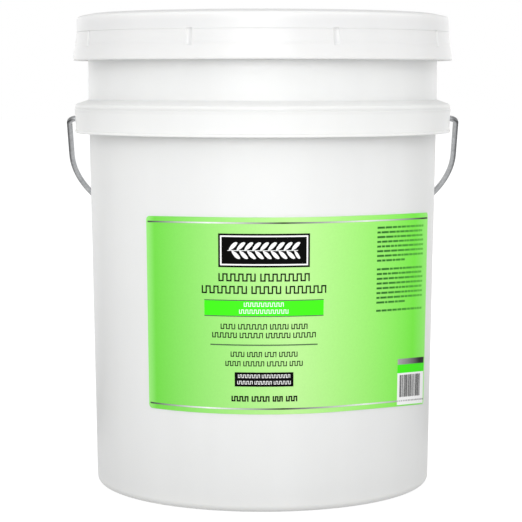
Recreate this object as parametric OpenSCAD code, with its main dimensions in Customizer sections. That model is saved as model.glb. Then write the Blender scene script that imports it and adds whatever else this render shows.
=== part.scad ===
// Round plastic shipping pail with a press-on lid, a steel wire bail and a roller grip.
// The origin is the centre of the foot ring's underside, +Z is up and -Y is the front.
// At rest the lid is on, and the bail hangs behind the pail with its grip against the wall.

/* [Pail body] */
// Height of the pail's rim
rim_h = 370; // [362:0.5:370]
// Outer radius of the body at the floor
base_r = 134; // [130:0.5:136]
// Outer radius of the straight neck under the rim
neck_r = 139.2; // [138.5:0.1:140]
// Height at which the tapered body meets the straight neck
taper_top = 320; // [310:1:330]
// Thickness of the moulded wall
wall = 2.3; // [1.8:0.1:2.6]
// Depth of the recess under the floor, inside the foot ring
foot_recess = 3.2; // [2:0.2:6]
// Width of the foot ring
foot_w = 9; // [7:0.5:11]
// Number of stiffening ribs under the floor
floor_ribs = 12; // [6:1:24]

/* [Rim and collar] */
// How far the rim's rolled lip stands out from the neck
lip_out = 4.4; // [3:0.1:4.6]
// Height of the rim's rolled lip
lip_h = 9.5; // [7:0.5:12]
// Outer radius of the collar at its widest
collar_r = 150.3; // [149:0.1:150.6]
// Height of the collar's bottom edge
collar_bottom = 281; // [270:1:284]
// Height at which the collar's roof leaves the neck
collar_top = 307.5; // [304:0.5:310]
// Number of webs between the collar and the body
web_count = 30; // [18:12:42]

/* [Lid] */
// Height of the lid's top, at its inner edge
lid_top = 374.6; // [374:0.1:376]
// Radius of the lid's skirt just under its top corner
lid_r = 148; // [147.5:0.1:149]
// Outer radius of the skirt at its bottom bead
skirt_r = 151.3; // [150.5:0.1:152]
// Height of the skirt's bottom edge
skirt_bottom = 338; // [334:1:344]
// Thickness of the lid's skirt and panel
lid_wall = 2; // [1.6:0.1:2.4]
// Height of the outer ring of the panel, where a stacked pail stands
seat_h = 358; // [354:1:362]
// Number of ribs on the panel
panel_ribs = 16; // [8:1:24]
// Number of cutting grooves on each half of the skirt
grooves_per_side = 4; // [1:1:4]
// Angle between neighbouring grooves
groove_pitch = 42.4; // [30:0.1:44]

/* [Bail and grip] */
// Diameter of the bail's wire
wire_d = 4.6; // [4:0.1:5]
// Height of the bail's pivot axis
pivot_h = 292; // [290:0.5:294]
// Distance from the pivot axis to the grip's axis
bail_reach = 185; // [180:1:190]
// Radius of the bail's two large bends
corner_r = 128; // [110:1:130]
// Angle by which each of the bail's legs leans outwards
splay = 2.5; // [0:0.5:3]
// Length of the roller grip
grip_len = 84; // [70:1:88]
// Outer radius of the roller grip's end flanges
grip_r = 12.5; // [11:0.5:14]

/* [Label] */
// Height of the label's bottom edge
label_bottom = 75; // [60:1:90]
// Height of the label
label_h = 147; // [120:1:160]
// Angle from the front to the label's left edge
label_left = 39.5; // [30:0.5:50]
// Angle from the front to the label's right edge
label_right = 69.5; // [60:0.5:85]

/* [Hidden] */
turned = 180;                       // $fn of large turned shapes
round_fn = 48;                      // $fn of small round shapes
lap = 0.5;                          // how far joined solids run into each other
edge = 0.4;                         // small slope that eases a moulded edge
plastic_white = [0.96, 0.96, 0.95];
label_green = [0.68, 0.97, 0.52];

inner_r = neck_r - wall;            // inside of the neck
floor_t = 2.6;
floor_top = foot_recess + floor_t;
foot_round = 5;
foot_slope = 2;
floor_fillet = 6;
floor_rib = [2, 1.6];               // width and height of a rib under the floor
floor_hub_r = 14;
floor_hub_hole = 6;
floor_ring_r = 66;

lip_r = neck_r + lip_out;           // outside of the rolled lip
lip_t = 2.1;
lip_round = 1.6;
neck_ring = [346, 2.4, 3];          // height, thickness and reach of the ring under the skirt
rim_round = 1;

collar_t = 2.3;
collar_edge_r = collar_r - 0.8;     // outer radius at the collar's bottom edge
collar_round = 3;
roof_drop = 2.8;                    // fall of the collar's roof from the neck to its corner
roof_turn = 72;                     // angle through which the roof turns down at its corner
web_t = 1.8;
web_foot = [2, 6];                  // rise of a web's bottom edge at the body and at the collar
ear_hole_r = 2.9;
boss_r = 8;
boss_len = 3;                       // how far the ear boss stands inwards from the collar

lid_corner = 2.5;
shoulder_slope = 12;                // angle at which the lid's top falls to its outer corner
plug_gap = 0.5;                     // between the lid's plug and the neck's inside
plug_t = 1.8;
plug_r = inner_r - plug_gap;
recess_r = plug_r - plug_t;         // inside of the recess in the lid's top
plug_round = 2.4;
ceiling_t = 3;
ceiling_h = lid_top - ceiling_t;    // underside of the channel that covers the rim
channel_edge = [3.4, 2];            // slopes at the channel's outer and inner top corners
catch_gap = 0.4;                    // between the lid's catch bead and the rim's lip
catch_h = 357;
catch_slope = 3;                    // height over which the catch bead rises from the skirt
flare_h = 356;                      // where the skirt starts to flare
plateau_r = 120;
plateau_rise = 1.6;
panel_t = 2.4;
panel_round = [3, 4];               // bends between the panel and the plug, above and below
plateau_slope = 2;
panel_rib = [2, 1];                 // width and height of a rib on the panel
panel_ring_r = [34, 112];
groove_r = 3.2;
groove_depth = 1.1;
groove_z = [348, 361];
bead_h = 2.6;                       // height of the bead along the skirt's bottom
skirt_step = 0.5;                   // how far the skirt widens just under its top corner
skirt_step_h = 362;

gasket_inset = 2.2;                 // from the plug to the gasket
gasket_t = 1.25;
gasket_w = 3.8;

wire_r = wire_d / 2;
pin_head = [4.6, 2.4];              // radius and thickness of the formed end of the wire
head_x = 141.5;                     // where the formed end starts
elbow_x = 149.6;                    // where the wire starts to bend outside the collar
elbow_r = 6;
straight_step = 0.05;               // by which a straight is thicker than the bends that it runs into
grip_gap = 0.8;                     // between the hanging grip and the wall
hang_share = 0.58;                  // share of the reach by which the hanging grip lies under the pivot
bore_r = 3.4;
flange_w = 5;
flange_drop = [1.5, 2];             // step and slope from a flange down to the barrel
flange_edge = 1;
flute_count = 12;
flute_r = 2.4;
flute_lift = 0.2;                   // of a flute's axis above the flanges
flute_inset = 4;                    // from a flange to the end of a flute

label_t = 0.3;

// Outer radius of the tapered body at a height
function body_r(z) = base_r + (neck_r - base_r) * z / taper_top;

// Points along a circular arc in a profile
function arc(centre, r, from, to, steps = 6) =
    [for (i = [0:steps]) let (a = from + (to - from) * i / steps) centre + r * [cos(a), sin(a)]];

leg_start = [elbow_x + elbow_r * cos(splay), elbow_r - elbow_r * sin(splay)];
leg_len = (bail_reach - corner_r * (1 + sin(splay)) - leg_start[1]) / cos(splay);
leg_end = leg_start + leg_len * [sin(splay), cos(splay)];
corner_x = leg_end[0] - corner_r * cos(splay);      // half the length of the straight under the grip

hang_r = body_r(pivot_h - bail_reach * hang_share) + grip_r + grip_gap;
hang = acos(hang_r / bail_reach);   // angle below the horizontal at which the bail hangs

// ---------------------------------------------------------------- pail

module pail_profile() {
    polygon(concat(
        [[0, foot_recess], [base_r - foot_w - foot_slope, foot_recess], [base_r - foot_w, 0]],
        arc([base_r - foot_round, foot_round], foot_round, -90, 0),
        [[neck_r, taper_top],
         [neck_r, neck_ring[0]], [neck_r + neck_ring[2], neck_ring[0] + edge],
         [neck_r + neck_ring[2], neck_ring[0] + neck_ring[1] - edge], [neck_r, neck_ring[0] + neck_ring[1]],
         [neck_r, rim_h - lip_t - edge], [lip_r - lip_t, rim_h - lip_t - edge],
         [lip_r - lip_t, rim_h - lip_h], [lip_r - edge, rim_h - lip_h]],
        arc([lip_r - lip_round, rim_h - lip_round], lip_round, 0, 90),
        arc([inner_r + rim_round, rim_h - rim_round], rim_round, 90, 180, 3),
        [[inner_r, taper_top]],
        arc([body_r(floor_top) - wall - floor_fillet, floor_top + floor_fillet], floor_fillet, 0, -90),
        [[0, floor_top]]));
}

// Section of the collar, from the neck out over the roof and down to its bottom edge
module collar_profile() {
    corner = [collar_r - collar_round, collar_top - roof_drop - collar_round];
    polygon(concat(
        [[neck_r - lap, collar_top + edge], [neck_r + 1, collar_top - edge]],
        arc(corner, collar_round, roof_turn, 0),
        [[collar_edge_r, collar_bottom + edge], [collar_edge_r - edge, collar_bottom],
         [collar_edge_r - collar_t, collar_bottom]],
        arc(corner, collar_round - collar_t, 0, roof_turn),
        [[neck_r - lap, collar_top - collar_t - edge]]));
}

module collar_webs() {
    for (i = [0:web_count - 1])
        rotate([0, 0, (i + 0.5) * 360 / web_count])
            rotate([90, 0, 0])
                linear_extrude(web_t, center = true)
                    polygon([[body_r(collar_bottom) - 1, collar_bottom + web_foot[0]],
                             [collar_edge_r - 1, collar_bottom + web_foot[1]],
                             [collar_edge_r - 1, collar_top - roof_drop - collar_round],
                             [collar_r - collar_round, collar_top - roof_drop - 1],
                             [neck_r - 1, collar_top - 2 * edge - 1]]);
}

module ear_bosses() {
    for (side = [0, 180])
        rotate([0, 0, side])
            translate([collar_edge_r - collar_t - boss_len, 0, pivot_h])
                rotate([0, 90, 0])
                    cylinder(r = boss_r, h = boss_len + 1, $fn = round_fn);
}

module ear_holes() {
    translate([0, 0, pivot_h])
        for (side = [0, 180])
            rotate([0, 0, side])
                translate([head_x, 0, 0])
                    rotate([0, 90, 0])
                        cylinder(r = ear_hole_r, h = collar_r - head_x + 2, $fn = round_fn);
}

module floor_underside() {
    hub_h = floor_rib[1] + lap;
    translate([0, 0, foot_recess - floor_rib[1]]) {
        difference() {
            cylinder(r = floor_hub_r, h = hub_h, $fn = round_fn);
            translate([0, 0, -lap])
                cylinder(r = floor_hub_hole, h = hub_h, $fn = round_fn);
        }
        for (i = [0:floor_ribs - 1])
            rotate([0, 0, i * 360 / floor_ribs])
                translate([floor_hub_r - 1, -floor_rib[0] / 2, 0])
                    cube([base_r - foot_w - foot_slope - floor_hub_r, floor_rib[0], hub_h]);
        rotate_extrude($fn = turned)
            translate([floor_ring_r, 0])
                square([floor_rib[0], hub_h]);
    }
}

module pail_shell() {
    color(plastic_white)
        difference() {
            union() {
                rotate_extrude($fn = turned) pail_profile();
                rotate_extrude($fn = turned) collar_profile();
                collar_webs();
                ear_bosses();
                floor_underside();
            }
            ear_holes();
        }
}

// ---------------------------------------------------------------- label

module front_label() {
    top = label_bottom + label_h;
    color(label_green)
        rotate([0, 0, -90 - label_left])
            rotate_extrude(angle = label_left + label_right, $fn = turned)
                polygon([[body_r(label_bottom), label_bottom], [body_r(label_bottom) + label_t, label_bottom],
                         [body_r(top) + label_t, top], [body_r(top), top]]);
}

// ---------------------------------------------------------------- lid

// Outer radius of the skirt at a height: upright at first, then flaring to its bottom bead
function skirt_out(z) = lid_r + skirt_step
    + (skirt_r - lid_r - skirt_step) * max(0, flare_h - z) / (flare_h - skirt_bottom - bead_h);

module lid_profile() {
    bead_r = bead_h / 2;
    catch_r = lip_r + catch_gap;
    inside_r = lid_r - lid_wall;
    plug_corner = [recess_r + plug_round, lid_top - plug_round];
    run = lid_r - lid_corner - plug_corner[0];
    fall = run * tan(shoulder_slope) + (lid_corner - plug_round) / cos(shoulder_slope);
    polygon(concat(
        [[0, seat_h + plateau_rise], [plateau_r, seat_h + plateau_rise],
         [plateau_r + plateau_slope, seat_h]],
        arc([recess_r - panel_round[0], seat_h + panel_round[0]], panel_round[0], -90, 0),
        arc(plug_corner, plug_round, 180, 90, 5),
        arc(plug_corner, plug_round, 90 - shoulder_slope / 2, 90 - shoulder_slope, 1),
        arc([lid_r - lid_corner, plug_corner[1] - fall], lid_corner, 90 - shoulder_slope, 0),
        [[skirt_out(flare_h), skirt_step_h], [skirt_out(flare_h), flare_h]],
        arc([skirt_r - bead_r, skirt_bottom + bead_r], bead_r, 0, -90),
        [[skirt_r - lid_wall - edge, skirt_bottom],
         [inside_r + edge, catch_h - catch_slope],
         [catch_r, catch_h - 2 * edge], [catch_r, catch_h + edge],
         [inside_r, catch_h + catch_slope], [inside_r, ceiling_h - channel_edge[0]],
         [inside_r - channel_edge[0], ceiling_h], [plug_r + channel_edge[1], ceiling_h],
         [plug_r, ceiling_h - channel_edge[1]]],
        arc([plug_r - panel_round[1], seat_h - panel_t + panel_round[1]], panel_round[1], 0, -90),
        [[0, seat_h - panel_t]]));
}

module panel_ribbing() {
    top = seat_h + plateau_rise;
    for (i = [0:panel_ribs - 1])
        rotate([0, 0, (i + 0.5) * 360 / panel_ribs])
            translate([panel_ring_r[0], -panel_rib[0] / 2, top - lap])
                cube([panel_ring_r[1] - panel_ring_r[0] + 1, panel_rib[0], panel_rib[1] + lap]);
    for (r = panel_ring_r)
        rotate_extrude($fn = turned)
            translate([r, top - lap])
                square([panel_rib[0], panel_rib[1] + lap]);
}

// Upright grooves that let the skirt be cut and torn away
module cutting_grooves() {
    lean = atan((skirt_out(groove_z[0]) - skirt_out(groove_z[1])) / (groove_z[1] - groove_z[0]));
    for (side = [-1, 1])
        for (i = [0:grooves_per_side - 1])
            rotate([0, 0, -90 + side * (i + 0.5) * groove_pitch])
                translate([skirt_out(groove_z[1]) + groove_r - groove_depth, 0, groove_z[1]])
                    rotate([0, 180 - lean, 0])
                        cylinder(r = groove_r, h = groove_z[1] - groove_z[0], $fn = round_fn);
}

module lid_shell() {
    color(plastic_white)
        difference() {
            union() {
                rotate_extrude($fn = turned) lid_profile();
                panel_ribbing();
            }
            cutting_grooves();
        }
}

module lid_gasket() {
    color("silver")
        rotate_extrude($fn = turned)
            translate([plug_r + gasket_inset, ceiling_h - gasket_t])
                square([gasket_w, gasket_t]);
}

// ---------------------------------------------------------------- bail

// A bend of the wire about the origin, in the bail's plane
module bend(r, from, to) {
    rotate([0, 0, from])
        rotate_extrude(angle = to - from, $fn = turned)
            translate([r, 0])
                circle(r = wire_r, $fn = round_fn);
}

// Half of the bail in its own plane: X is sideways and Y runs from the pivot axis to the grip
module half_bail() {
    translate([head_x, 0, 0])
        rotate([0, 90, 0]) {
            cylinder(r = pin_head[0], h = pin_head[1], $fn = round_fn);
            cylinder(r = wire_r, h = elbow_x - head_x, $fn = round_fn);
        }
    translate([elbow_x, elbow_r, 0])
        bend(elbow_r, -90, -splay);
    translate(leg_start)
        rotate([-90, 0, -splay])
            translate([0, 0, -lap])
                cylinder(r = wire_r + straight_step, h = leg_len + 2 * lap, $fn = round_fn);
    translate([corner_x, bail_reach - corner_r, 0])
        bend(corner_r, -splay, 90);
    translate([0, bail_reach, 0])
        rotate([0, 90, 0])
            cylinder(r = wire_r + straight_step, h = corner_x + lap, $fn = round_fn);
}

module hung() {
    translate([0, 0, pivot_h])
        rotate([-hang, 0, 0])
            children();
}

module bail_wire() {
    color("lightslategray")
        hung() {
            half_bail();
            mirror([1, 0, 0]) half_bail();
        }
}

module bail_grip() {
    half = grip_len / 2;
    barrel_r = grip_r - flange_drop[0];
    flute_end = flange_w + flute_inset;
    color(plastic_white)
        hung()
            translate([0, bail_reach, 0])
                rotate([0, 90, 0])
                    difference() {
                        rotate_extrude($fn = turned)
                            polygon([[bore_r, -half], [grip_r - flange_edge, -half],
                                     [grip_r, flange_edge - half], [grip_r, flange_w - half],
                                     [barrel_r, flange_w + flange_drop[1] - half],
                                     [barrel_r, half - flange_w - flange_drop[1]],
                                     [grip_r, half - flange_w], [grip_r, half - flange_edge],
                                     [grip_r - flange_edge, half], [bore_r, half]]);
                        for (i = [0:flute_count - 1])
                            rotate([0, 0, i * 360 / flute_count])
                                translate([grip_r + flute_lift, 0, flute_end - half])
                                    cylinder(r = flute_r, h = grip_len - 2 * flute_end, $fn = round_fn);
                    }
}

pail_shell();
front_label();
lid_shell();
lid_gasket();
bail_wire();
bail_grip();
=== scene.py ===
import math
import random

import bmesh
import bpy
from mathutils import Matrix, Vector


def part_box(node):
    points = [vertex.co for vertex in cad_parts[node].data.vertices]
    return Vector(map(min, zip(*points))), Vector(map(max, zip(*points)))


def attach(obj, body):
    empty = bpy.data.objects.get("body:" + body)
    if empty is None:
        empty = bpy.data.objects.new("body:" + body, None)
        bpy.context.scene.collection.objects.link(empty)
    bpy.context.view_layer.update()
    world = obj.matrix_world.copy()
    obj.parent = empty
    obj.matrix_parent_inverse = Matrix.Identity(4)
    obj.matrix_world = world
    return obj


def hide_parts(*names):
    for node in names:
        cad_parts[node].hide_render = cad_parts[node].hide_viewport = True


# A white shipping pail with a press-on lid, a wire bail with a roller grip, and a printed label.
# Outlines and label artwork are written in millimetres, and every mesh is made in metres.
# The pail's axis is Z, the front is -Y, and an azimuth is measured from the front towards +X.

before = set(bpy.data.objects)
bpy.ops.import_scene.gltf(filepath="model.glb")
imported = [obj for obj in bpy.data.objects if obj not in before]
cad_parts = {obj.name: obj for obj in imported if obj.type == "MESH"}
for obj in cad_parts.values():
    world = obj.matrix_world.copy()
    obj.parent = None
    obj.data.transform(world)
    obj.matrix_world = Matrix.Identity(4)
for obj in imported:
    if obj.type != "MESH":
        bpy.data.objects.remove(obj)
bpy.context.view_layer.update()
MM = 0.001


def node_box(name):
    """A CAD node's lowest and highest corners, in millimetres."""
    lo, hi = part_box(name)
    return [v / MM for v in lo], [v / MM for v in hi]


# ---------------------------------------------------------------- sizes

pail_hi = node_box("pail_shell")[1]
lid_lo, lid_hi = node_box("lid_shell")
label_lo, label_hi = node_box("front_label")
grip_lo, grip_hi = node_box("bail_grip")
gasket_lo, gasket_hi = node_box("lid_gasket")
wire_hi = node_box("bail_wire")[1]

BASE_R, NECK_R, TAPER_TOP = 134.0, 139.2, 320.0
WALL = 2.3
INNER_R = NECK_R - WALL
RIM_H = pail_hi[2]
COLLAR_R = pail_hi[0]
COLLAR_BOTTOM = 281.0
COLLAR_BAND = 299.3                   # bottom of the sunk band round the collar's top
COLLAR_TOP = 307.2                    # where the collar's roof leaves the neck
FLOOR_UNDER, FLOOR_TOP = 3.2, 5.8
FOOT_W = 9.0
LIP_R = NECK_R + 4.4

LID_TOP = lid_hi[2]
SKIRT_BOTTOM = lid_lo[2]
SKIRT_R = lid_hi[0]
LID_R = 148.0
PLUG_R = INNER_R - 0.5
RECESS_R = PLUG_R - 1.8
PLUG_ROUND = 2.4
SEAT_H = 358.0
PLATEAU_R, PLATEAU_H = 120.0, 359.6
PANEL_RINGS = (34.0, 112.0)
GROOVE_AZIMUTHS = [side * (i + 0.5) * 42.4 for side in (-1, 1) for i in range(4)]
GROOVE_R, GROOVE_DEPTH, GROOVE_Z = 3.2, 1.1, (348.0, 361.0)

WEB_COUNT, FLOOR_RIB_COUNT, PANEL_RIB_COUNT = 30, 12, 16
HOLE_R, BOSS_R, BOSS_LEN = 2.9, 8.0, 4.4

PIVOT_H = 292.0
WIRE_R = 2.3
BAIL_REACH = 185.0
ELBOW_X, ELBOW_R, SPLAY = 149.6, 6.0, 2.5
CORNER_R = 128.0
CORNER_X = wire_hi[0] - WIRE_R - CORNER_R
HEAD_X, HEAD_R, HEAD_T = 141.5, 4.6, 2.4
GRIP_R = (grip_hi[2] - grip_lo[2]) / 2
GRIP_HALF = (grip_hi[0] - grip_lo[0]) / 2
BORE_R = 3.4
GRIP_Y = (grip_hi[1] + grip_lo[1]) / 2
GRIP_Z = (grip_hi[2] + grip_lo[2]) / 2

FLUTE_COUNT, FLUTE_R, FLUTE_SINK = 12, 2.4, 1.7

LABEL_T = 0.3
LABEL_LEFT, LABEL_RIGHT = math.radians(-39.5), math.radians(69.5)
LABEL_BOTTOM, LABEL_TOP = label_lo[2], label_hi[2]
LABEL_R = 136.5                       # radius at which the artwork's widths are true

INK_T, LIGHT_INK_T = 0.40, 0.46       # heights above the wall of the inks, the light ones on top
TURNS, SMALL_TURNS = 256, 48          # sides of the large and the small turned shapes


def body_r(z):
    """Outer radius of the tapered wall at a height."""
    return BASE_R + (NECK_R - BASE_R) * z / TAPER_TOP


# ---------------------------------------------------------------- camera, light and floor

def make_camera():
    """The photograph's view: level with the collar, 1.55 m away and looking slightly down."""
    data = bpy.data.cameras.new("camera")
    data.sensor_width = 36.0
    data.lens = 132.7
    cam = bpy.data.objects.new("camera", data)
    cam.location = (-0.0013, -1.55, 0.3229)
    cam.rotation_euler = (math.radians(90 - 5.38), 0, 0)
    bpy.context.scene.collection.objects.link(cam)
    bpy.context.scene.camera = cam


def area_light(name, place, aim, size, power, tint=(1, 1, 1)):
    """A soft rectangular light at place, facing aim."""
    data = bpy.data.lights.new(name, "AREA")
    data.shape = "RECTANGLE"
    data.size, data.size_y = size
    data.energy = power
    data.color = tint
    light = bpy.data.objects.new(name, data)
    light.location = place
    light.rotation_euler = (Vector(aim) - Vector(place)).to_track_quat("-Z", "Y").to_euler()
    light.visible_camera = False
    bpy.context.scene.collection.objects.link(light)
    return light


def make_lights():
    aim = (0, 0, 0.2)
    area_light("key", (-0.06, -2.2, 0.9), aim, (1.2, 1.0), 18)
    for name, place, size, power in (("back", (0, 2.4, 0.5), (1.6, 0.8), 5),
                                     ("rim_left", (-1.0, 2.1, 0.5), (0.5, 1.2), 6),
                                     ("rim_right", (1.0, 2.1, 0.5), (0.5, 1.2), 6)):
        area_light(name, place, aim, size, power).visible_glossy = False


def make_world():
    """White to the camera, a soft sky as fill, and for reflections dimmer at the sides and above."""
    world = bpy.data.worlds.new("studio")
    bpy.context.scene.world = world
    world.use_nodes = True
    nodes, links = world.node_tree.nodes, world.node_tree.links
    nodes.clear()
    out = nodes.new("ShaderNodeOutputWorld")
    path = nodes.new("ShaderNodeLightPath")
    coord = nodes.new("ShaderNodeTexCoord")
    split = nodes.new("ShaderNodeSeparateXYZ")
    links.new(coord.outputs["Generated"], split.inputs[0])
    sideways = calculate(nodes, links, "ABSOLUTE", split.outputs["X"])
    flags = ramp(nodes, links, sideways, [(0.55, 1.0), (0.75, 0.6), (1.0, 0.6)])
    ceiling = ramp(nodes, links, split.outputs["Z"], [(0.08, 1.0), (0.22, 0.4), (0.6, 0.4), (1.0, 0.6)])
    sky = ramp(nodes, links, split.outputs["Z"], [(0.0, 0.57), (0.3, 0.57), (0.7, 1.0), (1.0, 1.0)])
    shades = []
    for colour, strength in ((sky, 1.25), (multiply(nodes, links, flags, ceiling), 1.35), (None, 1.0)):
        shade = nodes.new("ShaderNodeBackground")
        shade.inputs["Color"].default_value = (1, 1, 1, 1)
        shade.inputs["Strength"].default_value = strength
        if colour:
            links.new(colour, shade.inputs["Color"])
        shades.append(shade.outputs[0])
    lit = choose(nodes, links, path.outputs["Is Glossy Ray"], shades[0], shades[1])
    links.new(choose(nodes, links, path.outputs["Is Camera Ray"], lit, shades[2]), out.inputs["Surface"])


def make_floor():
    """A wide pale floor. Most of its brightness is its own, and near the pail it sends up less light."""
    mesh = bpy.data.meshes.new("floor")
    bm = bmesh.new()
    bmesh.ops.create_circle(bm, cap_ends=True, segments=96, radius=14)
    bm.to_mesh(mesh)
    bm.free()
    floor = bpy.data.objects.new("floor", mesh)
    bpy.context.scene.collection.objects.link(floor)
    mat, nodes, links, shader = new_material("pale_floor", (0.25, 0.25, 0.25), 0.9)
    shader.inputs["Specular IOR Level"].default_value = 0.0
    shader.inputs["Emission Color"].default_value = (1, 1, 1, 1)
    shader.inputs["Emission Strength"].default_value = 0.84
    coord = nodes.new("ShaderNodeTexCoord")
    reach = nodes.new("ShaderNodeVectorMath")
    reach.operation = "LENGTH"
    links.new(coord.outputs["Object"], reach.inputs[0])
    split = nodes.new("ShaderNodeSeparateXYZ")
    links.new(coord.outputs["Object"], split.inputs[0])
    sideways = calculate(nodes, links, "ABSOLUTE", split.outputs["X"])
    turned = calculate(nodes, links, "DIVIDE", sideways, reach.outputs["Value"])
    near = ramp(nodes, links, reach.outputs["Value"], [(0.22, 0.8), (0.45, 0.12)])
    ahead = ramp(nodes, links, turned, [(0.6, 0.9), (0.72, 0.12)])
    spread_out = ramp(nodes, links, reach.outputs["Value"], [(0.14, 0.46), (0.3, 0.73), (0.6, 0.95)])
    mirrored = calculate(nodes, links, "MAXIMUM", near, ahead)
    lights = []
    for glow, strength in ((spread_out, 1.2), (mirrored, 1.0)):
        light = nodes.new("ShaderNodeEmission")
        light.inputs["Strength"].default_value = strength
        links.new(glow, light.inputs["Color"])
        lights.append(light.outputs[0])
    path = nodes.new("ShaderNodeLightPath")
    bounce = choose(nodes, links, path.outputs["Is Glossy Ray"], lights[0], lights[1])
    seen = choose(nodes, links, path.outputs["Is Camera Ray"], bounce, shader.outputs[0])
    links.new(seen, nodes["Material Output"].inputs["Surface"])
    mesh.materials.append(mat)


# ---------------------------------------------------------------- materials

def new_material(name, colour, roughness, metallic=0.0):
    """A principled material and the handles that its detail is wired to."""
    mat = bpy.data.materials.new(name)
    mat.use_nodes = True
    shader = mat.node_tree.nodes["Principled BSDF"]
    shader.inputs["Base Color"].default_value = (*colour, 1)
    shader.inputs["Roughness"].default_value = roughness
    shader.inputs["Metallic"].default_value = metallic
    return mat, mat.node_tree.nodes, mat.node_tree.links, shader


def noise(nodes, links, scale, stretch=(1, 1, 1), detail=3.0, rough=0.5):
    """A noise pattern in the object's own metres, stretched along its axes."""
    coord = nodes.new("ShaderNodeTexCoord")
    mapping = nodes.new("ShaderNodeMapping")
    mapping.inputs["Scale"].default_value = stretch
    tex = nodes.new("ShaderNodeTexNoise")
    tex.inputs["Scale"].default_value = scale
    tex.inputs["Detail"].default_value = detail
    tex.inputs["Roughness"].default_value = rough
    links.new(coord.outputs["Object"], mapping.inputs["Vector"])
    links.new(mapping.outputs["Vector"], tex.inputs["Vector"])
    return tex.outputs["Fac"]


def ramp(nodes, links, source, stops):
    """A colour ramp over source; stops are (position, colour or grey)."""
    node = nodes.new("ShaderNodeValToRGB")
    elements = node.color_ramp.elements
    while len(elements) < len(stops):
        elements.new(0.5)
    for element, (place, value) in zip(elements, stops):
        element.position = place
        element.color = (*value, 1) if isinstance(value, tuple) else (value, value, value, 1)
    links.new(source, node.inputs["Fac"])
    return node.outputs["Color"]


def calculate(nodes, links, operation, a, b=None):
    """The result of a Math node on one or two sources."""
    node = nodes.new("ShaderNodeMath")
    node.operation = operation
    links.new(a, node.inputs[0])
    if b:
        links.new(b, node.inputs[1])
    return node.outputs[0]


def choose(nodes, links, when, otherwise, then):
    """The shader `then` for rays of the kind that `when` names, and otherwise the other one."""
    node = nodes.new("ShaderNodeMixShader")
    links.new(when, node.inputs[0])
    links.new(otherwise, node.inputs[1])
    links.new(then, node.inputs[2])
    return node.outputs[0]


def multiply(nodes, links, a, b, amount=1.0):
    """Colour a darkened by colour b."""
    node = nodes.new("ShaderNodeMix")
    node.data_type = "RGBA"
    node.blend_type = "MULTIPLY"
    node.inputs[0].default_value = amount
    links.new(a, node.inputs[6])
    links.new(b, node.inputs[7])
    return node.outputs[2]


def bump(nodes, links, shader, heights):
    """Adds fine relief; heights is a list of (source, depth in metres)."""
    normal = None
    for source, depth in heights:
        node = nodes.new("ShaderNodeBump")
        node.inputs["Strength"].default_value = 1.0
        node.inputs["Distance"].default_value = depth
        links.new(source, node.inputs["Height"])
        if normal:
            links.new(normal, node.inputs["Normal"])
        normal = node.outputs["Normal"]
    links.new(normal, shader.inputs["Normal"])


def white_plastic(name, tint, gloss, painted_shading=None):
    """Moulded polyethylene: faint upright flow lines, a waxy mottle, fine surface texture and light scuffs.
    The last argument lists (height in millimetres, brightness): painted light and painted shade, where bands
    are made lighter or darker by height in place of shading."""
    mat, nodes, links, shader = new_material(name, tint, gloss)
    flow = noise(nodes, links, 30, stretch=(1, 1, 0.06), detail=2)
    mottle = noise(nodes, links, 14, detail=4)
    scuff = noise(nodes, links, 160, stretch=(1, 1, 0.35), detail=6, rough=0.7)
    flow_tone = ramp(nodes, links, flow, [(0.3, tuple(0.975 * c for c in tint)), (0.7, tint)])
    mottle_tone = ramp(nodes, links, mottle, [(0.35, 0.985), (0.65, 1.0)])
    tone = multiply(nodes, links, flow_tone, mottle_tone)
    # Painted light and painted shade: the colour is scaled by height.
    if painted_shading:
        coord = nodes.new("ShaderNodeTexCoord")
        split = nodes.new("ShaderNodeSeparateXYZ")
        links.new(coord.outputs["Object"], split.inputs[0])
        stops = [(height * MM, brightness) for height, brightness in painted_shading]
        tone = multiply(nodes, links, tone, ramp(nodes, links, split.outputs["Z"], stops))
    links.new(tone, shader.inputs["Base Color"])
    links.new(ramp(nodes, links, scuff, [(0.35, gloss * 0.88), (0.62, gloss), (0.72, gloss * 1.35)]),
              shader.inputs["Roughness"])
    grain = noise(nodes, links, 900, detail=2)
    bump(nodes, links, shader, [(mottle, 0.0004), (grain, 0.00002)])
    shader.inputs["Subsurface Weight"].default_value = 0.3
    shader.inputs["Subsurface Radius"].default_value = (1.0, 0.95, 0.85)
    shader.inputs["Subsurface Scale"].default_value = 0.008
    shader.inputs["IOR"].default_value = 1.5
    return mat


def galvanised_steel():
    """Drawn wire with a dull zinc coat: lengthwise draw lines and cloudy spangle."""
    mat, nodes, links, shader = new_material("galvanised_steel", (0.5, 0.51, 0.52), 0.34, metallic=1.0)
    cloud = noise(nodes, links, 220, detail=5, rough=0.65)
    drawn = noise(nodes, links, 1400, stretch=(0.08, 1, 1), detail=2)
    zinc = [(0.3, (0.40, 0.41, 0.42)), (0.55, (0.52, 0.53, 0.54)), (0.8, (0.66, 0.67, 0.68))]
    tone = ramp(nodes, links, cloud, zinc)
    links.new(tone, shader.inputs["Base Color"])
    links.new(ramp(nodes, links, cloud, [(0.3, 0.28), (0.7, 0.42)]), shader.inputs["Roughness"])
    bump(nodes, links, shader, [(cloud, 0.00006), (drawn, 0.00003)])
    return mat


def grey_foam():
    """Fine-pored sealing foam."""
    mat, nodes, links, shader = new_material("grey_foam", (0.55, 0.55, 0.54), 0.85)
    pores = noise(nodes, links, 1800, detail=3, rough=0.7)
    links.new(ramp(nodes, links, pores, [(0.35, 0.42), (0.6, 0.6)]), shader.inputs["Base Color"])
    bump(nodes, links, shader, [(pores, 0.0001)])
    return mat


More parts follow.
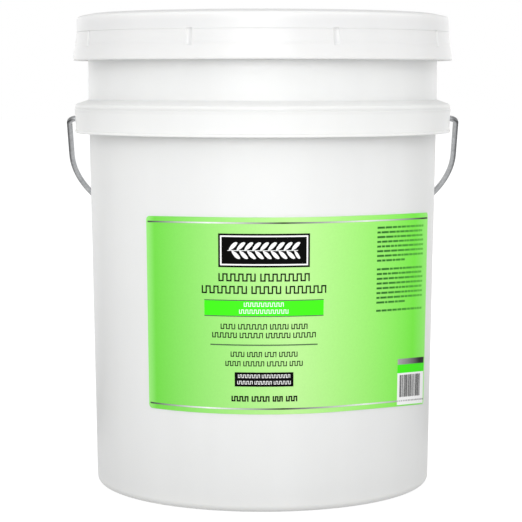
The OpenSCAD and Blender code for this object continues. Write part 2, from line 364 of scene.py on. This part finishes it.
def azimuth_share(nodes, links):
    """0 at the label's left edge and 1 at its right edge, from where a point lies round the pail."""
    coord = nodes.new("ShaderNodeTexCoord")
    split = nodes.new("ShaderNodeSeparateXYZ")
    flip = nodes.new("ShaderNodeMath")
    flip.operation = "MULTIPLY"
    flip.inputs[1].default_value = -1.0
    angle = nodes.new("ShaderNodeMath")
    angle.operation = "ARCTAN2"
    share = nodes.new("ShaderNodeMapRange")
    share.inputs["From Min"].default_value = LABEL_LEFT
    share.inputs["From Max"].default_value = LABEL_RIGHT
    links.new(coord.outputs["Object"], split.inputs[0])
    links.new(split.outputs["Y"], flip.inputs[0])
    links.new(split.outputs["X"], angle.inputs[0])
    links.new(flip.outputs[0], angle.inputs[1])
    links.new(angle.outputs[0], share.inputs["Value"])
    return share.outputs["Result"]


def colour_by_azimuth(name, stops, roughness=0.32, metallic=0.0, dots=0.0, gloss=0.5):
    """Ink or film whose colour runs from left to right across the label, with faint print mottle. The run of
    colour can carry painted light, painted shade and painted reflection as well as print.
    """
    mat, nodes, links, shader = new_material(name, (0.5, 0.5, 0.5), roughness, metallic)
    shader.inputs["Specular IOR Level"].default_value = gloss
    tone = ramp(nodes, links, azimuth_share(nodes, links), stops)
    mottle = noise(nodes, links, 700, detail=4, rough=0.6)
    grain = ramp(nodes, links, mottle, [(0.35, 1.0 - dots), (0.65, 1.0)])
    links.new(multiply(nodes, links, tone, grain), shader.inputs["Base Color"])
    wrinkle = noise(nodes, links, 25, stretch=(1, 1, 0.5), detail=2)
    bump(nodes, links, shader, [(wrinkle, 0.0003), (mottle, 0.000004)])
    return mat


# ---------------------------------------------------------------- mesh tools

def rounded(corners, steps=6, hold=0.25):
    """An outline from corners (r, z) or (r, z, fillet radius), with a holding point beside each bend."""
    points = []
    last = len(corners) - 1
    for i, corner in enumerate(corners):
        p = Vector(corner[:2])
        on_axis = p.x == 0
        if on_axis or len(corner) == 2:
            points.append(p)
            continue
        before = (Vector(corners[i - 1][:2]) - p).normalized()
        after = (Vector(corners[i + 1 if i < last else 0][:2]) - p).normalized()
        half = before.angle(after) / 2
        reach = corner[2] / math.tan(half)
        centre = p + (before + after).normalized() * corner[2] / math.sin(half)
        a, b = p + before * reach - centre, p + after * reach - centre
        turn = a.angle_signed(b)
        points.append(p + before * (reach + hold))
        for k in range(steps + 1):
            t = -turn * k / steps
            points.append(centre + Vector((a.x * math.cos(t) - a.y * math.sin(t),
                                           a.x * math.sin(t) + a.y * math.cos(t))))
        points.append(p + after * (reach + hold))
    return [(p.x, p.y) for p in points]


def even_angles(extra=()):
    """TURNS angles round the axis, with extra ones where finer steps are needed."""
    angles = [2 * math.pi * i / TURNS for i in range(TURNS)]
    angles += [a % (2 * math.pi) for a in extra]
    kept = []
    for a in sorted(angles):
        if not kept or a - kept[-1] > 1e-4:
            kept.append(a)
    return kept


def new_object(name, bm, material, sharp=35.0):
    """Finishes a bmesh as a smooth-shaded object with creases at sharp edges."""
    bmesh.ops.remove_doubles(bm, verts=bm.verts, dist=1e-7)
    bmesh.ops.recalc_face_normals(bm, faces=bm.faces)
    mesh = bpy.data.meshes.new(name)
    bm.to_mesh(mesh)
    bm.free()
    mesh.shade_smooth()
    mesh.set_sharp_from_angle(angle=math.radians(sharp))
    obj = bpy.data.objects.new(name, mesh)
    bpy.context.scene.collection.objects.link(obj)
    if material:
        mesh.materials.append(material)
    return obj


def small_angles():
    """Even angles for the small turned shapes."""
    return [2 * math.pi * i / SMALL_TURNS for i in range(SMALL_TURNS)]


def lathe(outline, angles, shape=None):
    """A turned solid. The outline (r, z) closes on itself, or starts and ends on the axis.
    shape(r, z, azimuth) may return a changed radius."""
    bm = bmesh.new()
    rings = []
    for r, z in outline:
        if r < 1e-6:
            rings.append([bm.verts.new((0, 0, z * MM))])
            continue
        ring = []
        for a in angles:
            radius = shape(r, z, a) if shape else r
            ring.append(bm.verts.new((radius * math.sin(a) * MM, -radius * math.cos(a) * MM, z * MM)))
        rings.append(ring)
    open_chain = len(rings[0]) == 1
    pairs = list(zip(rings, rings[1:]))
    if not open_chain:
        pairs.append((rings[-1], rings[0]))
    count = len(angles)
    for lower, upper in pairs:
        for i in range(count):
            j = (i + 1) % count
            if len(lower) == 1 and len(upper) == 1:
                continue
            if len(lower) == 1:
                bm.faces.new((lower[0], upper[j], upper[i]))
            elif len(upper) == 1:
                bm.faces.new((lower[i], lower[j], upper[0]))
            else:
                bm.faces.new((lower[i], lower[j], upper[j], upper[i]))
    return bm


def sweep(path, radius, sides, normal):
    """A capped round tube along a path that lies in the plane of normal, in metres."""
    bm = bmesh.new()
    rings = []
    for i, p in enumerate(path):
        ahead = path[min(i + 1, len(path) - 1)] - path[max(i - 1, 0)]
        across = ahead.normalized().cross(normal).normalized()
        ring = []
        for k in range(sides):
            a = 2 * math.pi * k / sides
            ring.append(bm.verts.new(p + (across * math.cos(a) + normal * math.sin(a)) * radius))
        rings.append(ring)
    for lower, upper in zip(rings, rings[1:]):
        for k in range(sides):
            bm.faces.new((lower[k], lower[(k + 1) % sides], upper[(k + 1) % sides], upper[k]))
    bm.faces.new(rings[0])
    bm.faces.new(rings[-1])
    return bm


def box_mesh(bm, corners_low, corners_high, bevel=0.0):
    """Adds a box, in millimetres, with its upright and top edges eased."""
    made = bmesh.ops.create_cube(bm, size=1.0)["verts"]
    lo, hi = Vector(corners_low) * MM, Vector(corners_high) * MM
    for v in made:
        v.co = Vector([lo[k] + (v.co[k] + 0.5) * (hi[k] - lo[k]) for k in range(3)])
    if bevel:
        edges = {e for v in made for e in v.link_edges}
        bmesh.ops.bevel(bm, geom=list(edges), offset=bevel * MM, segments=2, affect="EDGES", profile=0.5)


def turn_about_z(bm, start, angle):
    """Turns the vertices added since start about the pail's axis."""
    bm.verts.ensure_lookup_table()
    bmesh.ops.rotate(bm, verts=bm.verts[start:], cent=(0, 0, 0), matrix=Matrix.Rotation(angle, 3, "Z"))


def combine(target, tool, operation):
    """Applies a boolean of tool to target's mesh, and deletes tool."""
    mod = target.modifiers.new("combine", "BOOLEAN")
    mod.object = tool
    mod.operation = operation
    mod.solver = "MANIFOLD"
    graph = bpy.context.evaluated_depsgraph_get()
    mesh = bpy.data.meshes.new_from_object(target.evaluated_get(graph))
    target.modifiers.clear()
    old = target.data
    target.data = mesh
    bpy.data.meshes.remove(old)
    bpy.data.objects.remove(tool)
    mesh.shade_smooth()
    mesh.set_sharp_from_angle(angle=math.radians(35))


def finish_piece(obj, body, slot, *nodes):
    """A piece rides on its body and stands for CAD nodes, which are hidden. slot is not used."""
    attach(obj, body)
    if nodes:
        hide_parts(*nodes)


# ---------------------------------------------------------------- pail

def pail_outline():
    """From the floor's underside out to the foot, up the wall, round the collar and rim, and down inside."""
    roof_in = COLLAR_TOP - 2
    bead = 346.0
    lip_bottom, lip_in = RIM_H - 9.5, LIP_R - 2.1
    return rounded([
        (0, FLOOR_UNDER),
        (BASE_R - FOOT_W - 2, FLOOR_UNDER, 0.8),
        (BASE_R - FOOT_W, 0, 0.8),
        (BASE_R, 0, 5.0),
        (body_r(100), 100), (body_r(200), 200),
        (body_r(COLLAR_BOTTOM), COLLAR_BOTTOM),
        (body_r(roof_in), roof_in, 1.4),
        (COLLAR_R - 2.3, 301.9, 2.0),
        (COLLAR_R - 3.1, COLLAR_BOTTOM, 0.7),
        (COLLAR_R - 0.4, COLLAR_BOTTOM, 0.8),
        (COLLAR_R - 0.4, COLLAR_BOTTOM + 2, 0.3), (COLLAR_R - 0.8, COLLAR_BOTTOM + 2.5, 0.3),
        (COLLAR_R - 0.45, COLLAR_BAND - 4.2), (COLLAR_R - 0.02, COLLAR_BAND, 0.2),
        (COLLAR_R - 0.4, COLLAR_BAND + 0.8, 0.2), (COLLAR_R - 0.2, COLLAR_TOP - 3.7, 2.8),
        (NECK_R, COLLAR_TOP, 1.0),
        (NECK_R, bead, 0.7), (NECK_R + 3, bead + 0.4, 0.6),
        (NECK_R + 3, bead + 2, 0.6), (NECK_R, bead + 2.4, 0.7),
        (NECK_R, RIM_H - 2.5, 0.5), (lip_in, RIM_H - 2.5, 0.5),
        (lip_in, lip_bottom, 0.6), (LIP_R, lip_bottom, 0.8),
        (LIP_R, RIM_H, 1.6), (INNER_R, RIM_H, 1.0),
        (INNER_R, TAPER_TOP), (body_r(200) - WALL, 200), (body_r(100) - WALL, 100),
        (body_r(FLOOR_TOP) - WALL, FLOOR_TOP, 6.0),
        (0, FLOOR_TOP)])


def collar_webs():
    """The upright webs that tie the collar to the wall."""
    bm = bmesh.new()
    half = 0.9
    outline = [(body_r(COLLAR_BOTTOM) - 1, COLLAR_BOTTOM + 2), (COLLAR_R - 1.8, COLLAR_BOTTOM + 6),
               (COLLAR_R - 1.8, COLLAR_TOP - 7.2), (COLLAR_R - 3.6, COLLAR_TOP - 4),
               (NECK_R - 1, COLLAR_TOP - 1)]
    for i in range(WEB_COUNT):
        start = len(bm.verts)
        front, back = [], []
        for r, z in outline:
            front.append(bm.verts.new((r * MM, -half * MM, z * MM)))
            back.append(bm.verts.new((r * MM, half * MM, z * MM)))
        bm.faces.new(front)
        bm.faces.new(list(reversed(back)))
        for k in range(len(outline)):
            m = (k + 1) % len(outline)
            bm.faces.new((front[m], front[k], back[k], back[m]))
        turn_about_z(bm, start, 2 * math.pi * (i + 0.5) / WEB_COUNT)
    return bm


def make_pail(material):
    fine = [side * math.radians(90 + 0.35 * k) for side in (-1, 1) for k in range(-14, 15)]
    pail = new_object("pail_body", lathe(pail_outline(), even_angles(fine)), material)
    combine(pail, new_object("webs", collar_webs(), material), "UNION")
    for side in (-1, 1):
        boss = lathe([(0, 0), (BOSS_R, 0), (BOSS_R, BOSS_LEN), (0, BOSS_LEN)], small_angles())
        place_along_x(boss, side * (COLLAR_R - 3.1 - 3.4), side)
        combine(pail, new_object("boss", boss, material), "UNION")
        hole = lathe([(0, 0), (HOLE_R, 0), (HOLE_R, 12), (0, 12)], small_angles())
        place_along_x(hole, side * HEAD_X, side)
        combine(pail, new_object("hole", hole, material), "DIFFERENCE")
    underside = bmesh.new()
    low, high = FLOOR_UNDER - 1.6, FLOOR_UNDER + 0.5
    for i in range(FLOOR_RIB_COUNT):
        start = len(underside.verts)
        box_mesh(underside, (13, -1, low), (BASE_R - FOOT_W - 3, 1, high), bevel=0.3)
        turn_about_z(underside, start, 2 * math.pi * i / FLOOR_RIB_COUNT)
    combine(pail, new_object("floor_ribs", underside, material), "UNION")
    for r, width in ((10.0, 4.0), (66.0, 2.0)):
        inner, outer = r - width / 2, r + width / 2
        ring = rounded([(inner, low, 0.4), (outer, low, 0.4), (outer, high), (inner, high)])
        combine(pail, new_object("floor_ring", lathe(ring, even_angles()), material), "UNION")
    finish_piece(pail, "pail", "pail_plastic", "pail_shell")


def place_along_x(bm, x, side):
    """Lays a turned solid along +X or -X at the pivot's height, starting at x millimetres."""
    for v in bm.verts:
        along, up = v.co.z, v.co.x
        v.co = Vector((x * MM + side * along, v.co.y, PIVOT_H * MM + up))


# ---------------------------------------------------------------- lid

def skirt_out(z):
    """Outer radius of the skirt: upright above the flare, then widening to its bottom bead."""
    flare = 356.0
    if z >= flare:
        return LID_R + 0.5
    return LID_R + 0.5 + (SKIRT_R - LID_R - 0.5) * (flare - z) / (flare - SKIRT_BOTTOM - 2.6)


def shoulder(r):
    """Height of the sloping top between the recess and the skirt, before its corners are rounded."""
    slope = math.radians(12)
    return LID_TOP - PLUG_ROUND + PLUG_ROUND / math.cos(slope) + (RECESS_R + PLUG_ROUND - r) * math.tan(slope)


def lid_outline():
    """Across the top from the middle to the recess, over the rim channel, down the skirt and back inside."""
    low, high = GROOVE_Z
    ledges = []
    for z in (360.0, 350.0):
        ledges += [(skirt_out(z + 0.9), z + 0.9), (skirt_out(z) - 0.28, z), (skirt_out(z - 2.6), z - 2.6)]
    heights = (high + 0.4, high, high - 0.35, 358.8, 354.0, 352.0, low + 0.35, low, low - 0.4)
    upright = sorted(ledges + [(skirt_out(z), z) for z in heights], key=lambda p: -p[1])
    bead = SKIRT_R - 0.1
    return rounded([
        (0, PLATEAU_H), (PLATEAU_R, PLATEAU_H, 0.8), (PLATEAU_R + 2, SEAT_H, 0.8),
        (RECESS_R, SEAT_H, 3.0), (RECESS_R, shoulder(RECESS_R), PLUG_ROUND), (LID_R, shoulder(LID_R), 2.5),
        *upright,
        (bead, SKIRT_BOTTOM + 2.4, 0.6), (bead, SKIRT_BOTTOM, 1.0), (SKIRT_R - 2.4, SKIRT_BOTTOM, 0.6),
        (146.6, 354), (LIP_R + 0.4, 356, 0.4), (LIP_R + 0.4, 357.6, 0.4),
        (146.0, 360), (146.0, 368.2), (142.6, 371.6), (PLUG_R, 371.6, 1.5),
        (PLUG_R, SEAT_H - 2.4, 4.0), (0, SEAT_H - 2.4)])


def groove_cut(r, z, azimuth):
    """Sinks the eight upright grooves into the skirt's outside."""
    low, high = GROOVE_Z
    if r < LID_R + 0.1 or not low <= z <= high:
        return r
    ends = min(1.0, min(z - low, high - z) / 0.35)
    for groove in GROOVE_AZIMUTHS:
        gap = (azimuth - math.radians(groove) + math.pi) % (2 * math.pi) - math.pi
        across = abs(gap) * r
        if across < GROOVE_R:
            depth = math.sqrt(GROOVE_R ** 2 - across ** 2) - (GROOVE_R - GROOVE_DEPTH)
            return r - max(0.0, depth) * ends
    return r


def make_lid(material):
    steps = [0, 0.5, 1.0, 1.5, 1.9, 2.2, 2.42, 2.7, 3.2]
    fine = [math.radians(g) + s * d / LID_R for g in GROOVE_AZIMUTHS for s in (-1, 1) for d in steps]
    lid = new_object("lid_cover", lathe(lid_outline(), even_angles(fine), groove_cut), material)
    ribs = bmesh.new()
    low, high = PLATEAU_H - 0.5, PLATEAU_H + 1
    for i in range(PANEL_RIB_COUNT):
        start = len(ribs.verts)
        box_mesh(ribs, (PANEL_RINGS[0] + 1, -1, low), (PANEL_RINGS[1] + 1, 1, high), bevel=0.4)
        turn_about_z(ribs, start, 2 * math.pi * (i + 0.5) / PANEL_RIB_COUNT)
    combine(lid, new_object("panel_ribs", ribs, material), "UNION")
    for r in PANEL_RINGS:
        ring = rounded([(r, low), (r + 2, low), (r + 2, high, 0.5), (r, high, 0.5)])
        combine(lid, new_object("panel_ring", lathe(ring, even_angles()), material), "UNION")
    finish_piece(lid, "lid", "lid_plastic", "lid_shell")


def make_gasket(material):
    lo, hi = gasket_lo[2], gasket_hi[2]
    inner, outer = PLUG_R + 2.2, gasket_hi[0]
    outline = rounded([(inner, lo, 0.5), (outer, lo, 0.5), (outer, hi, 0.2), (inner, hi, 0.2)])
    gasket = new_object("rim_gasket", lathe(outline, even_angles()), material)
    finish_piece(gasket, "lid", "gasket_rubber", "lid_gasket")


# ---------------------------------------------------------------- bail

def bail_point(x, s):
    """A point x sideways and s out from the pivot axis, in the hanging bail's plane, in metres."""
    out = Vector((0, GRIP_Y, GRIP_Z - PIVOT_H)).normalized()
    return Vector((x, out.y * s, PIVOT_H + out.z * s)) * MM


def bail_path():
    """The wire's centre line, from one formed end to the other."""
    half = [(HEAD_X + HEAD_T / 2, 0), (146.0, 0), (149.0, 0)]
    for centre_x, centre_s, radius, start, end, steps in (
            (ELBOW_X, ELBOW_R, ELBOW_R, -90, -SPLAY, 12),
            (CORNER_X, BAIL_REACH - CORNER_R, CORNER_R, -SPLAY, 90, 40)):
        for k in range(steps + 1):
            a = math.radians(start + (end - start) * k / steps)
            half.append((centre_x + radius * math.cos(a), centre_s + radius * math.sin(a)))
    half += [(CORNER_X * (1 - k / 4), BAIL_REACH) for k in range(1, 5)]
    path = half + [(-x, s) for x, s in reversed(half[:-1])]
    return [bail_point(x, s) for x, s in path]


def make_bail(material):
    normal = bail_point(0, 1) - bail_point(0, 0)
    normal = normal.normalized().cross(Vector((1, 0, 0))).normalized()
    wire = new_object("bail_rod", sweep(bail_path(), WIRE_R * MM, 28, normal), material)
    for side in (-1, 1):
        head = lathe(rounded([(0, 0), (HEAD_R, 0, 0.8), (HEAD_R, HEAD_T, 0.8), (0, HEAD_T)]), small_angles())
        place_along_x(head, side * HEAD_X, side)
        combine(wire, new_object("wire_head", head, material), "UNION")
    finish_piece(wire, "bail", "bail_steel", "bail_wire")


def flute(r, z, azimuth):
    """Sinks the grip's lengthwise flutes between its end flanges."""
    if r < GRIP_R - 2 or abs(z) > GRIP_HALF - 9:
        return r
    ends = min(1.0, (GRIP_HALF - 9 - abs(z)) / 1.5)
    pitch = 2 * math.pi / FLUTE_COUNT
    across = abs((azimuth + pitch / 2) % pitch - pitch / 2) * r
    depth = math.sqrt(max(0.0, FLUTE_R ** 2 - across ** 2)) - FLUTE_SINK
    return r - max(0.0, depth) * ends


def make_grip(material):
    """The roller: a flanged, fluted tube that is loose on the wire."""
    half, barrel = GRIP_HALF, GRIP_R - 1.5
    profile = rounded([
        (BORE_R, -half, 0.5), (GRIP_R, -half, 1.4), (GRIP_R, 5 - half, 1.0), (barrel, 7 - half, 1.0),
        (barrel, 9 - half), (barrel, 10.5 - half), (barrel, 12 - half),
        (barrel, half - 12), (barrel, half - 10.5), (barrel, half - 9),
        (barrel, half - 7, 1.0), (GRIP_R, half - 5, 1.0), (GRIP_R, half, 1.4), (BORE_R, half, 0.5)])
    bm = lathe(profile, [2 * math.pi * i / 144 for i in range(144)], flute)
    for v in bm.verts:
        v.co = Vector((v.co.z, v.co.y + GRIP_Y * MM, v.co.x + GRIP_Z * MM))
    grip = new_object("roller_grip", bm, material)
    finish_piece(grip, "grip", "grip_plastic", "bail_grip")


# ---------------------------------------------------------------- label

# Places on the flat artwork: u round from the front and v high.
TITLE = (-33.0, 35.0, 185.0, 210.0)   # left, right, low and high of the dark title panel
BAND = (-44.0, 46.0, 149.0, 160.0)    # and of the bright band below it
CORNER = (118.0, 163.0)               # left and right of the panels in the bottom right corner
SMALL_LEFT, SMALL_RIGHT, SMALL_SHORT = 92.5, 155.0, 126.0


def on_wall(u, v, lift):
    """A point of the flat artwork, u round from the front and v high, on the wall and lift proud of it."""
    azimuth = u / LABEL_R
    height = (v - LABEL_BOTTOM) / (LABEL_TOP - LABEL_BOTTOM)
    past = max(0.0, math.degrees(azimuth) - 25) ** 2
    before = max(0.0, -12 - math.degrees(azimuth)) ** 2
    v -= past * (0.0035 * (1 - height) + 0.0012 * height) + before * 0.0013 * height
    r = body_r(v) + lift
    return Vector((r * math.sin(azimuth), -r * math.cos(azimuth), v)) * MM


def strip(bm, columns, under, lift, rows=1):
    """A closed thin solid on the wall. columns are (u, low v, high v), and it spans from under to lift."""
    sheets = []
    for height in (under, lift):
        sheet = []
        for u, low, high in columns:
            levels = [low + (high - low) * k / rows for k in range(rows + 1)]
            sheet.append([bm.verts.new(on_wall(u, v, height)) for v in levels])
        sheets.append(sheet)
    back, front = sheets
    for i in range(len(columns) - 1):
        for k in range(rows):
            bm.faces.new((front[i][k], front[i + 1][k], front[i + 1][k + 1], front[i][k + 1]))
            bm.faces.new((back[i][k + 1], back[i + 1][k + 1], back[i + 1][k], back[i][k]))
        for k in (0, rows):
            bm.faces.new((front[i][k], back[i][k], back[i + 1][k], front[i + 1][k]))
    for i in (0, len(columns) - 1):
        for k in range(rows):
            bm.faces.new((front[i][k], front[i][k + 1], back[i][k + 1], back[i][k]))


def spread(left, right, step=2.5):
    """Places from left to right, no further apart than step."""
    count = max(1, math.ceil((right - left) / step))
    return [left + (right - left) * k / count for k in range(count + 1)]


def block(bm, left, right, low, high, lift=INK_T, corner=0.0, under=0.2):
    """A printed rectangle, with round corners if asked."""
    places = spread(left, right)
    if corner:
        bends = [corner * (1 - math.cos(math.radians(15 * k))) for k in range(7)]
        inner = [u for u in places if left + corner < u < right - corner]
        places = [left + b for b in bends] + inner + [right - b for b in reversed(bends)]
    columns = []
    for u in places:
        near = min(u - left, right - u)
        cut = corner - math.sqrt(max(0.0, corner ** 2 - (corner - near) ** 2)) if near < corner else 0.0
        columns.append((u, low + cut, high - cut))
    strip(bm, columns, under, lift, rows=max(1, round((high - low) / 12)))


def frame_line(bm, left, right, low, high, width, lift):
    """A thin rectangular outline."""
    block(bm, left, right, low, low + width, lift)
    block(bm, left, right, high - width, high, lift)
    block(bm, left, left + width, low + width, high - width, lift)
    block(bm, right - width, right, low + width, high - width, lift)


def mock_words(bm, left, right, low, high, words, lift=INK_T, weight=0.17):
    """A line of stand-in text: each word is a square wave of strokes, and no letter is formed."""
    dice = random.Random(round(left * 10 + low))
    tall = high - low
    stroke = tall * weight
    gap = tall * 0.55
    shares = [dice.uniform(0.6, 1.4) for _ in range(words)]
    room = (right - left) - gap * (words - 1)
    u = left
    for share in shares:
        end = u + room * share / sum(shares)
        count = max(2, round((end - u) / (tall * 0.52)))
        pitch = (end - u - stroke) / count
        for k in range(count + 1):
            at = u + k * pitch
            block(bm, at, at + stroke, low, high, lift)
            if k < count:
                level = high - stroke if k % 2 else low
                block(bm, at + stroke, at + pitch, level, level + stroke, lift)
        u = end + gap


def mock_small(bm, left, right, low, high, seed, lift=INK_T):
    """A line of very small stand-in text: plain dashes of word length."""
    dice = random.Random(seed)
    u = left
    while u < right - 1.5:
        end = min(right, u + dice.uniform(2.5, 8.5))
        block(bm, u, end, low, high, lift)
        u = end + 0.9


def leaf_sprig(bm, left, right, middle, tall):
    """An ornament of leaves on a stem, in place of a name."""
    stem = 0.45
    block(bm, left, right, middle - stem / 2, middle + stem / 2, LIGHT_INK_T)
    count = 9
    pitch = (right - left) / count
    for k in range(count):
        for side in (-1, 1):
            start = left + pitch * (k + (0.15 if side > 0 else 0.5))
            end = min(right + pitch * 0.3, start + pitch * 1.15)
            columns = []
            for j in range(13):
                t = j / 12
                centre = middle + side * (stem / 2 + 0.1 + tall * 0.36 * t ** 0.8)
                width = tall * 0.13 * math.sin(math.pi * t) ** 0.7 + 0.02
                columns.append((start + (end - start) * t, centre - width, centre + width))
            strip(bm, columns, 0.2, LIGHT_INK_T)


def barcode(bm, left, right, low, high):
    """Upright bars of mixed widths that encode nothing."""
    dice = random.Random(7)
    u = left
    while u < right - 1:
        wide = dice.choice((0.35, 0.35, 0.7, 1.0))
        block(bm, u, u + wide, low, high, LIGHT_INK_T)
        u += wide + dice.choice((0.4, 0.4, 0.8))


def print_piece(name, draw, material):
    """One ink of the label as its own thin piece."""
    bm = bmesh.new()
    draw(bm)
    piece = new_object(name, bm, material, sharp=60)
    finish_piece(piece, "pail", "label_film")
    return piece


def draw_film(bm):
    left, right = LABEL_LEFT * LABEL_R, LABEL_RIGHT * LABEL_R
    block(bm, left, right, LABEL_BOTTOM, LABEL_TOP, LABEL_T, corner=3.0, under=0.0)


def draw_foil(bm):
    left, right = LABEL_LEFT * LABEL_R + 1.5, LABEL_RIGHT * LABEL_R - 1.5
    for v in (LABEL_BOTTOM + 3.5, LABEL_TOP - 4.7):
        block(bm, left, right, v, v + 1.1)
    block(bm, *CORNER, 107.0, 111.5)


def draw_grey(bm):
    block(bm, -39.5, 41.5, 126.6, 127.5)
    left, right, low, high = BAND
    for v in (low - 0.7, high):
        block(bm, left, right, v, v + 0.7)


def draw_dark(bm):
    block(bm, *TITLE)
    mock_words(bm, -33.0, 35.0, 174.5, 180.5, 2)
    mock_words(bm, -46.0, 48.0, 165.3, 171.2, 3)
    mock_words(bm, -31.5, 33.5, 138.8, 142.8, 4)
    mock_words(bm, -38.0, 40.0, 132.3, 136.3, 4)
    mock_words(bm, -24.0, 26.0, 118.2, 122.0, 4)
    mock_words(bm, -28.0, 30.0, 111.2, 115.0, 4)
    block(bm, -21.0, 23.0, 95.9, 106.6)
    mock_words(bm, -23.5, 26.0, 84.6, 88.8, 4, weight=0.24)
    barcode(bm, 121.0, 156.0, 82.0, 99.0)


def draw_small(bm):
    rows = [211.6 - 3.55 * k for k in range(8)] + [180.2 - 3.6 * k for k in range(8)] + [148.8]
    for k, v in enumerate(rows):
        last_of_block = k % 8 == 7
        mock_small(bm, SMALL_LEFT, SMALL_SHORT if last_of_block else SMALL_RIGHT, v, v + 1.5, seed=k)


def draw_band(bm):
    block(bm, *BAND)
    block(bm, *CORNER, 100.5, 107.0)


def draw_light(bm):
    left, right, low, high = TITLE
    inset = 1.4
    leaf_sprig(bm, -26.0, 26.0, (low + high) / 2, 15.0)
    frame_line(bm, left + inset, right - inset, low + inset, high - inset, 1.1, LIGHT_INK_T)
    mock_words(bm, -14.0, 15.5, 155.8, 158.9, 1, lift=LIGHT_INK_T)
    mock_words(bm, -17.5, 19.0, 150.6, 153.7, 1, lift=LIGHT_INK_T)
    mock_words(bm, -18.5, 20.5, 102.4, 105.0, 2, lift=LIGHT_INK_T)
    mock_words(bm, -19.0, 21.0, 97.6, 100.2, 3, lift=LIGHT_INK_T)
    block(bm, *CORNER, 76.0, 100.5)


def make_label():
    """The printed film and each of its inks, whose colours are listed from the left edge to the right. The
    film's green is partly print and partly painted light and shade, and the foil's run is a painted
    reflection.
    """
    # The film's green is a printed gradient, lightest near the label's middle, with painted shade darkening
    # it toward the right side, painted light at the right end and a lighter strip at the left end.
    green = [(0.0, (0.32, 0.77, 0.20)), (0.03, (0.157, 0.655, 0.06)), (0.2, (0.285, 0.71, 0.155)),
             (0.45, (0.455, 0.795, 0.275)), (0.7, (0.305, 0.785, 0.15)), (0.9, (0.175, 0.80, 0.05)),
             (1.0, (0.30, 0.86, 0.16))]
    film = print_piece("label_film", draw_film, colour_by_azimuth("label_green", green, 0.38, dots=0.03, gloss=0.2))
    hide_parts("front_label")
    # The foil's light and dark run round the pail is painted reflection of the studio lights, not print.
    foil_painted_reflection = [(0.0, 0.01), (0.2, 0.9), (0.42, 0.01), (0.68, 0.9), (0.95, 0.01)]
    silver = colour_by_azimuth("silver_foil", foil_painted_reflection, 0.4, metallic=0.2, dots=0.1, gloss=0.3)
    print_piece("label_foil", draw_foil, silver)
    print_piece("label_dark_print", draw_dark,
                colour_by_azimuth("dark_ink", [(0.0, 0.002), (1.0, 0.003)], 0.6, dots=0.2, gloss=0.04))
    faint = [(0.0, (0.03, 0.17, 0.02)), (0.74, (0.03, 0.17, 0.02)),
             (0.86, (0.06, 0.33, 0.03)), (1.0, (0.13, 0.60, 0.05))]
    dark_green = colour_by_azimuth("dark_green_ink", faint, 0.5, dots=0.15, gloss=0.2)
    print_piece("label_small_print", draw_small, dark_green)
    grey = [(0.0, (0.07, 0.14, 0.06)), (1.0, (0.07, 0.14, 0.06))]
    print_piece("label_grey_print", draw_grey, colour_by_azimuth("grey_ink", grey, 0.5, dots=0.1, gloss=0.2))
    band = [(0.0, (0.04, 0.82, 0.0)), (0.5, (0.05, 0.92, 0.002)), (1.0, (0.05, 0.80, 0.0))]
    print_piece("label_band", draw_band, colour_by_azimuth("bright_green_ink", band, 0.4, dots=0.04, gloss=0.2))
    white = colour_by_azimuth("white_ink", [(0.0, 0.86), (1.0, 0.86)], 0.45, dots=0.03)
    print_piece("label_white_print", draw_light, white)


# ---------------------------------------------------------------- the whole

make_camera()
make_world()
make_lights()
make_floor()
# Painted shading on the collar: a lighter line at the band's foot, painted shade across the sunk band,
# painted light on the roof, and the neck a little duller again.
pail_painted_shading = [(COLLAR_BAND - 0.5, 0.805), (COLLAR_BAND, 0.86),
              (COLLAR_BAND + 0.6, 0.86), (COLLAR_BAND + 0.9, 0.74),
              (COLLAR_BAND + 3.0, 0.67), (COLLAR_BAND + 5.0, 0.67), (COLLAR_BAND + 5.7, 1.0),
              (COLLAR_TOP + 0.3, 1.0), (COLLAR_TOP + 1.5, 0.82)]
# Painted light on the lid's sloping shoulder and painted shade at its crest by the recess; everything lower
# on the lid is duller.
lid_painted_shading = [(370.8, 0.885), (371.8, 1.0), (374.0, 1.0), (374.4, 0.8)]
make_pail(white_plastic("pail_white", (0.965, 0.97, 0.955), 0.36, pail_painted_shading))
# The lid's white is a darker copy of the pail's white: painted shade.
make_lid(white_plastic("lid_white", (0.81, 0.81, 0.805), 0.33, lid_painted_shading))
make_gasket(grey_foam())
make_bail(galvanised_steel())
make_grip(white_plastic("grip_white", (0.86, 0.86, 0.85), 0.45))
make_label()

scene = bpy.context.scene
scene.view_settings.view_transform = "Standard"
scene.view_settings.look = "None"
